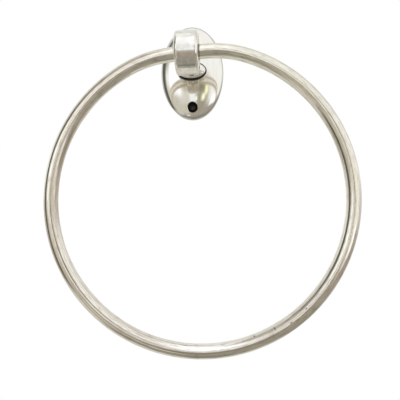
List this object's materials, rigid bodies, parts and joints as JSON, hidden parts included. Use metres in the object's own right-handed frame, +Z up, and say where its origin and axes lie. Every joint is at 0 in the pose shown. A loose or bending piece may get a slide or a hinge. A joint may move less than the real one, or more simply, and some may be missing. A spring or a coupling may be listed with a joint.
{
  "type": "towel ring",
  "caption": "Wall-mounted towel ring: a round bar ring swings in the barrel eye of a post that stands on an oval domed base",
  "frame": {"origin": "centre of the oval base on the wall plane", "axes": "+Y into the wall, +Z up, so the part stands out towards -Y and its front faces -Y"},
  "size_m": [0.17, 0.048, 0.193],
  "materials": {
    "ring": "drawn bar, satin polished, with fine lengthwise lines",
    "post": "cast, polished, softly worn",
    "base": "polished bright",
    "post_screw": "plain turned steel",
    "lock_washer": "plain spring steel",
    "wall_plate": "plain rolled sheet",
    "fixing_screw": "blackened"
  },
  "bodies": {
    "bracket": {"post": "post", "base": "base", "post_screw": "post_screw", "lock_washer": "lock_washer", "wall_plate": "wall_plate", "fixing_screw": "fixing_screw"},
    "hanging_ring": {"ring": "ring"}
  },
  "joints": [
    {"name": "ring_swing", "type": "hinge", "parent": "bracket", "child": "hanging_ring", "pos_m": [0, -0.036, 0], "axis": [-1, 0, 0], "range_deg": [-11.4, 191.4]}
  ]
}
